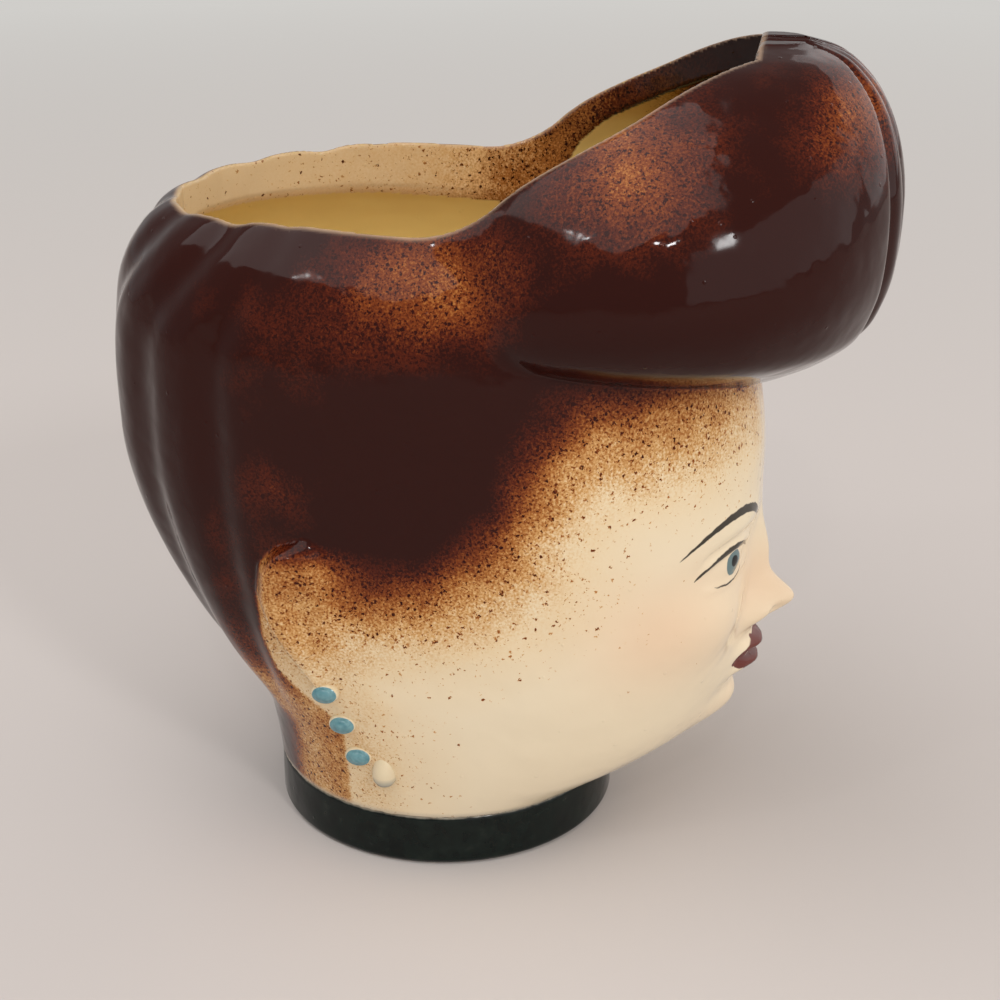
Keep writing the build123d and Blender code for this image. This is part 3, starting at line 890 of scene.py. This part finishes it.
def glazed_clay(name, with_face):
    """The glaze over the head or the hair, with the painted features where the piece has them."""
    material, tree, glaze, place = new_material(name)
    tone = sprayed(tree, place, "brown")
    colour = ramp(tree, tone, spray_stops)
    if with_face:
        blush = product(tree, mask(tree, "cheek"), spread(tree, tone, 0.0, 0.35, 0.60, 0.0))
        colour = blend(tree, blush, colour, cheek_peach)
        parts = node(tree, "ShaderNodeSeparateXYZ", {"Vector": place}).outputs
        wobble = product(tree, sums(tree, "SUBTRACT", noise(tree, place, 0.6, 1.0), 0.5), 0.45)
        flat = node(tree, "ShaderNodeCombineXYZ", {
            "X": sums(tree, "ABSOLUTE", parts["X"]), "Z": sums(tree, "ADD", parts["Z"], wobble),
        }).outputs[0]
        front = spread(tree, parts["Y"], -18.0, -30.0)
        under_lid = spread(tree, parts["Z"], lid_edge_low, lid_edge_high, 1.0, 0.0)
        for arcs, paint, strength, below_lid in (
            (iris_arcs, iris_blue, 0.94, True), (pupil_arcs, brow_black, 0.95, True),
            (lash_arcs, brow_black, 0.95, False), (brow_arcs, brow_black, 0.95, False),
            (lip_arcs, lip_red, 0.96, False),
        ):
            share = product(tree, painted(tree, flat, arcs), front, strength)
            if below_lid:
                share = product(tree, share, under_lid)
            colour = blend(tree, share, colour, paint)
    well_colour = ramp(tree, sprayed(tree, place, "well_brown"), well_stops)
    rim_colour = ramp(tree, sprayed(tree, place, "rim_brown"), rim_stops)
    well_colour = blend(tree, mask(tree, "cut_face"), well_colour, rim_colour)
    colour = blend(tree, mask(tree, "outside"), well_colour, colour)
    # A thin pale line is laid along the edge of the cut rim.
    colour = blend(tree, product(tree, mask(tree, "lip"), 0.50), colour, pale_rim_line)
    colour = blend(tree, product(tree, mask(tree, "foot"), 0.75), colour, wiped_foot)
    tree.links.new(colour, glaze.inputs["Base Color"])
    rough = noise(tree, place, 0.2, 2.0)
    tree.links.new(spread(tree, rough, 0.3, 0.7, 0.05, 0.13), glaze.inputs["Roughness"])
    glaze.inputs["Specular IOR Level"].default_value = 0.17
    relief = placed(tree, glaze_relief, {"Place": place, "Wave": 0.55, "Peel": 0.035, "Specks": 0.05})
    bumped(tree, glaze, relief["Height"], 1.0, mm)
    return material


head_glaze = glazed_clay("cream_and_brown_glaze", True)
hair_glaze = glazed_clay("brown_hair_glaze", False)
for name, piece in pieces.items():
    piece.data.materials.append(head_glaze if name == "glazed_head" else hair_glaze)


# The foot band. It is an upright collar, cast with the head and dipped in a black glaze after it. The
# standing ring is wiped bare, and the bore above the floor has the ochre glaze of the pot.
ring_colour, thin_edge_colour = (0.52, 0.44, 0.33, 1), (0.50, 0.45, 0.36, 1)
black_stops = (
    (0.3, (0.003, 0.005, 0.0045)), (0.62, (0.006, 0.011, 0.009)), (0.8, (0.016, 0.020, 0.016)),
)


def lathe(outline, count=160, closed=False):
    """Points and faces of an outline of radius and height turned about the upright axis."""
    turns = np.arange(count) * math.tau / count
    rings = []
    for radius, height in outline:
        rings.append(np.stack([radius * np.sin(turns), -radius * np.cos(turns), np.full(count, height)], 1))
    first = np.arange(count)
    faces = []
    for ring in range(len(outline) if closed else len(outline) - 1):
        low, high = ring * count + first, (ring + 1) % len(outline) * count + first
        faces.append(np.stack([low, np.roll(low, -1), np.roll(high, -1), high], 1))
    return np.concatenate(rings), np.concatenate(faces)


def rounded(outline, radius, steps=4):
    """An outline whose inner corners are turned into arcs."""
    made = [outline[0]]
    for before, corner, after in zip(outline, outline[1:], outline[2:]):
        before, corner, after = (np.array(p, float) for p in (before, corner, after))
        way_in, way_out = before - corner, after - corner
        cut = min(radius, 0.45 * np.linalg.norm(way_in), 0.45 * np.linalg.norm(way_out))
        start, end = (corner + way / np.linalg.norm(way) * cut for way in (way_in, way_out))
        for t in np.linspace(0, 1, steps + 1):
            made.append(tuple(start * (1 - t) ** 2 + 2 * corner * t * (1 - t) + end * t * t))
    made.append(outline[-1])
    return made


inner_radius = foot_radius - wall
band_outline = rounded([
    (inner_radius, 0.4), (inner_radius + 0.3, 0.0), (foot_radius - 1.0, 0.0), (foot_radius - 0.05, 0.9),
    (foot_radius - 0.02, foot_height / 2), (foot_radius - 0.1, foot_height - 0.7),
    (foot_radius - 0.55, foot_height), (inner_radius, foot_height), (inner_radius, 0.4),
], 0.6)[:-1]
band_points, band_faces = lathe(band_outline, closed=True)
foot_band = new_piece("glazed_foot_band", band_points, band_faces)
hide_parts("foot_band")

black_glaze, tree, glaze, place = new_material("black_glaze")
parts = node(tree, "ShaderNodeSeparateXYZ", {"Vector": place}).outputs
streaks = noise(tree, place, 0.35, 3.0)
colour = ramp(tree, streaks, black_stops)
ragged = sums(tree, "MULTIPLY_ADD", streaks, 0.5, parts["Z"])
colour = blend(tree, spread(tree, ragged, 0.25, 0.55), ring_colour, colour)
near_top = spread(tree, ragged, foot_height - 0.30, foot_height + 0.1, 0.0, 0.75)
colour = blend(tree, near_top, colour, thin_edge_colour)
from_axis = node(tree, "ShaderNodeCombineXYZ", {"X": parts["X"], "Y": parts["Y"]}).outputs[0]
from_axis = arrows(tree, "LENGTH", from_axis).outputs["Value"]
in_bore = spread(tree, from_axis, inner_radius + 0.4, inner_radius + 0.1)
in_bore = product(tree, in_bore, spread(tree, parts["Z"], 1, 2))
colour = blend(tree, in_bore, colour, (*ochre, 1))
tree.links.new(colour, glaze.inputs["Base Color"])
tree.links.new(spread(tree, ragged, 0.2, 0.6, 0.75, 0.09), glaze.inputs["Roughness"])
glaze.inputs["Specular IOR Level"].default_value = 0.20
relief = placed(tree, glaze_relief, {"Place": place, "Wave": 0.4, "Peel": 0.05, "Specks": 0.05})
bumped(tree, glaze, relief["Height"], 1.0, mm)
foot_band.data.materials.append(black_glaze)


# The floor. It is a disc of clay luted inside the collar, bare underneath and flush with the wiped ring,
# with the ochre glaze pooled on top.
bare_stops = ((0.3, (0.50, 0.42, 0.32)), (0.5, (0.62, 0.54, 0.43)), (0.75, (0.70, 0.63, 0.52)))
floor_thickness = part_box("floor_disc")[1].z / mm
floor_outline = [(0.0, 0.0), (inner_radius - 0.6, 0.0), (inner_radius, 0.5)]
floor_outline += [(inner_radius, floor_thickness), (inner_radius - 0.8, floor_thickness)]
floor_outline += [(inner_radius * 0.5, floor_thickness - 0.15), (0.0, floor_thickness - 0.25)]
floor_points, floor_faces = lathe(rounded(floor_outline, 0.4), 96)
floor_disc = new_piece("glazed_floor", floor_points, floor_faces)
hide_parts("floor_disc")

floor_material, tree, clay, place = new_material("floor_clay_and_ochre_glaze")
parts = node(tree, "ShaderNodeSeparateXYZ", {"Vector": place}).outputs
grit = noise(tree, place, 1.6, 4.0)
glazed = spread(tree, parts["Z"], 0.9, 1.6)
bare = ramp(tree, grit, bare_stops)
pooled = ramp(tree, grit, ((0.25, pooled_ochre), (0.6, ochre)))
tree.links.new(blend(tree, glazed, bare, pooled), clay.inputs["Base Color"])
tree.links.new(spread(tree, glazed, 0.0, 1.0, 0.85, 0.16), clay.inputs["Roughness"])
clay.inputs["Specular IOR Level"].default_value = 0.2
bumped(tree, clay, grit, 0.35, 0.25 * mm)
floor_disc.data.materials.append(floor_material)


# The earrings. A string of three low beads is pressed on below each lobe and a small drop beside them;
# each bead keeps a rim of cream glaze round its dab of teal, and the drop's lower edge gets a grey-blue
# painted shade.
bead_radius, bead_height, bead_sink, bead_pitch, bead_step, bead_count = 2.3, 2.6, 1.2, 7.4, 2.4, 3
bead_length_share, bead_drop_share, bead_turns = 1.12, 0.84, 40
drop_radius, drop_height, drop_sink, drop_step, drop_fall = 2.4, 8.6, 0.9, 9.4, 17.0
lobe_y, lobe_z = ear_back - ear_width * (1 - 0.44), ear_top - ear_height
bead_cream, drop_shade_blue = (0.74, 0.61, 0.40, 1), (0.22, 0.27, 0.27, 1)

# Rows: shares of the radius and of the height
bead_outline = (
    (1.0, 0.0), (1.0, 0.50), (0.93, 0.66), (0.80, 0.76), (0.66, 0.80), (0.60, 0.84), (0.45, 0.94),
    (0.22, 0.99), (0.0, 1.0),
)
drop_outline = (
    (0.0, 0.0), (0.35, 0.015), (0.68, 0.07), (0.90, 0.17), (0.98, 0.30), (0.94, 0.45), (0.78, 0.62),
    (0.55, 0.78), (0.34, 0.90), (0.18, 0.97), (0.0, 1.0),
)

bead_glaze, tree, glaze, place = new_material("teal_and_cream_glaze")
pooled = noise(tree, place, 0.9, 2.0)
dab = ramp(tree, pooled, ((0.3, (0.075, 0.205, 0.240)), (0.7, (0.150, 0.315, 0.340))))
ragged = sums(tree, "MULTIPLY_ADD", sums(tree, "SUBTRACT", pooled, 0.5), 0.5, mask(tree, "teal"))
colour = blend(tree, spread(tree, ragged, 0.35, 0.65), bead_cream, dab)
# The grey-blue on the drop's lower edge is painted shade, not a glaze of its own.
colour = blend(tree, product(tree, mask(tree, "drop_underside_shade"), 0.7), colour, drop_shade_blue)
tree.links.new(colour, glaze.inputs["Base Color"])
glaze.inputs["Roughness"].default_value = 0.10
glaze.inputs["Coat Weight"].default_value = 0.35
bumped(tree, glaze, pooled, 0.5, 0.1 * mm)


def skin_side(y, z):
    """How far the side of the head or the ear is from the middle."""
    low, high = 5.0, 60.0
    for _ in range(30):
        middle = (low + high) / 2
        if skin_gap(np.array([middle]), np.array([y]), np.array([z]))[0] < 0:
            low = middle
        else:
            high = middle
    return low


for side, cad_node in ((-1, "earring_right"), (1, "earring_left")):
    points, faces, teal, drop_underside_shade = [], [], [], []
    count = 0
    for index in range(bead_count):
        dome, dome_faces = lathe([(r * bead_radius, h * bead_height) for r, h in bead_outline], bead_turns)
        y, z = lobe_y - index * bead_step, lobe_z - index * bead_pitch
        around = [(0, 0), (1.3, 0), (-1.3, 0), (0, 1.1), (0, -1.1)]
        seat = max(skin_side(y + along, z + up) for along, up in around)
        out = seat - bead_sink + dome[:, 2]
        length, height = dome[:, 0] * bead_length_share, dome[:, 1] * bead_drop_share
        points.append(np.stack([side * out, y + length, z + height], 1))
        faces.append((dome_faces if side > 0 else dome_faces[:, ::-1]) + count)
        radius = np.hypot(dome[:, 0], dome[:, 1]) / bead_radius
        teal.append(1 - fade(radius, 0.80, 0.98))
        drop_underside_shade.append(np.zeros(len(dome)))
        count += len(dome)
    drop, drop_faces = lathe([(r * drop_radius, h * drop_height) for r, h in drop_outline], bead_turns)
    y, z = lobe_y - drop_step, lobe_z - drop_fall
    points.append(drop + [side * (skin_side(y, z) - drop_sink), y, z - drop_height / 2])
    faces.append(drop_faces + count)
    teal.append(np.zeros(len(drop)))
    # Painted shade: the lowest part of the drop is marked for the grey-blue.
    drop_underside_shade.append(1 - fade(drop[:, 2] / drop_height, 0.10, 0.30))
    masks = {"teal": np.concatenate(teal), "drop_underside_shade": np.concatenate(drop_underside_shade)}
    string = new_piece("beads_" + cad_node, np.concatenate(points), np.concatenate(faces), masks=masks)
    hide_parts(cad_node)
    string.data.materials.append(bead_glaze)
